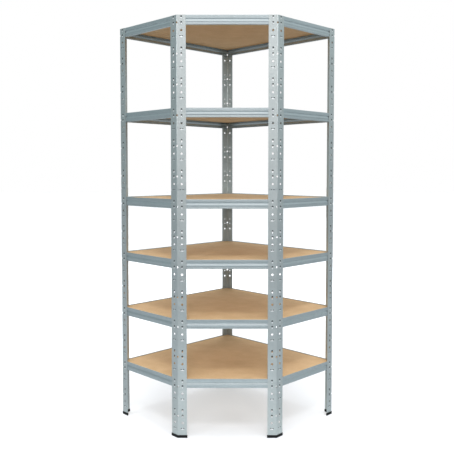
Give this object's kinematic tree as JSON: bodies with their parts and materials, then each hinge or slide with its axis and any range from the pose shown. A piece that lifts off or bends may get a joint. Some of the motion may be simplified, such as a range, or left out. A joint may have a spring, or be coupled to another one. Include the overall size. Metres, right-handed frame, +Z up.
{
  "type": "corner shelf unit",
  "caption": "Free-standing boltless corner shelf unit: punched galvanised angle posts, hooked shelf beams and loose fibreboard shelves, with a front set across the corner.",
  "frame": {"origin": "on the floor, under the middle of the bounding box", "axes": "+Z up, +Y towards the back corner that stands in the corner of the room, +X to the right seen from the front; the two walls run at 45 degrees to X and Y"},
  "size_m": [0.991, 0.7802, 1.8],
  "materials": {
    "post_steel": "hot-dip galvanised sheet, satin with a faint spangle",
    "beam_steel": "galvanised sheet, satin, slightly bluer than the posts",
    "shelf_board": "raw fibreboard, matt",
    "foot_plastic": "moulded black plastic"
  },
  "bodies": {
    "root": {"front_left_foot": "foot_plastic", "front_left_post_lower": "post_steel", "front_left_post_upper": "post_steel", "front_right_foot": "foot_plastic", "front_right_post_lower": "post_steel", "front_right_post_upper": "post_steel", "right_foot": "foot_plastic", "right_post_lower": "post_steel", "right_post_upper": "post_steel", "back_foot": "foot_plastic", "back_post_lower": "post_steel", "back_post_upper": "post_steel", "left_foot": "foot_plastic", "left_post_lower": "post_steel", "left_post_upper": "post_steel", "shelf_1_front_beam": "beam_steel", "shelf_1_right_end_beam": "beam_steel", "shelf_1_right_wall_beam": "beam_steel", "shelf_1_left_wall_beam": "beam_steel", "shelf_1_left_end_beam": "beam_steel", "shelf_1_board": "shelf_board", "shelf_2_front_beam": "beam_steel", "shelf_2_right_end_beam": "beam_steel", "shelf_2_right_wall_beam": "beam_steel", "shelf_2_left_wall_beam": "beam_steel", "shelf_2_left_end_beam": "beam_steel", "shelf_2_board": "shelf_board", "shelf_3_front_beam": "beam_steel", "shelf_3_right_end_beam": "beam_steel", "shelf_3_right_wall_beam": "beam_steel", "shelf_3_left_wall_beam": "beam_steel", "shelf_3_left_end_beam": "beam_steel", "shelf_3_board": "shelf_board", "shelf_4_front_beam": "beam_steel", "shelf_4_right_end_beam": "beam_steel", "shelf_4_right_wall_beam": "beam_steel", "shelf_4_left_wall_beam": "beam_steel", "shelf_4_left_end_beam": "beam_steel", "shelf_4_board": "shelf_board", "shelf_5_front_beam": "beam_steel", "shelf_5_right_end_beam": "beam_steel", "shelf_5_right_wall_beam": "beam_steel", "shelf_5_left_wall_beam": "beam_steel", "shelf_5_left_end_beam": "beam_steel", "shelf_5_board": "shelf_board", "shelf_6_front_beam": "beam_steel", "shelf_6_right_end_beam": "beam_steel", "shelf_6_right_wall_beam": "beam_steel", "shelf_6_left_wall_beam": "beam_steel", "shelf_6_left_end_beam": "beam_steel", "shelf_6_board": "shelf_board"}
  },
  "joints": []
}
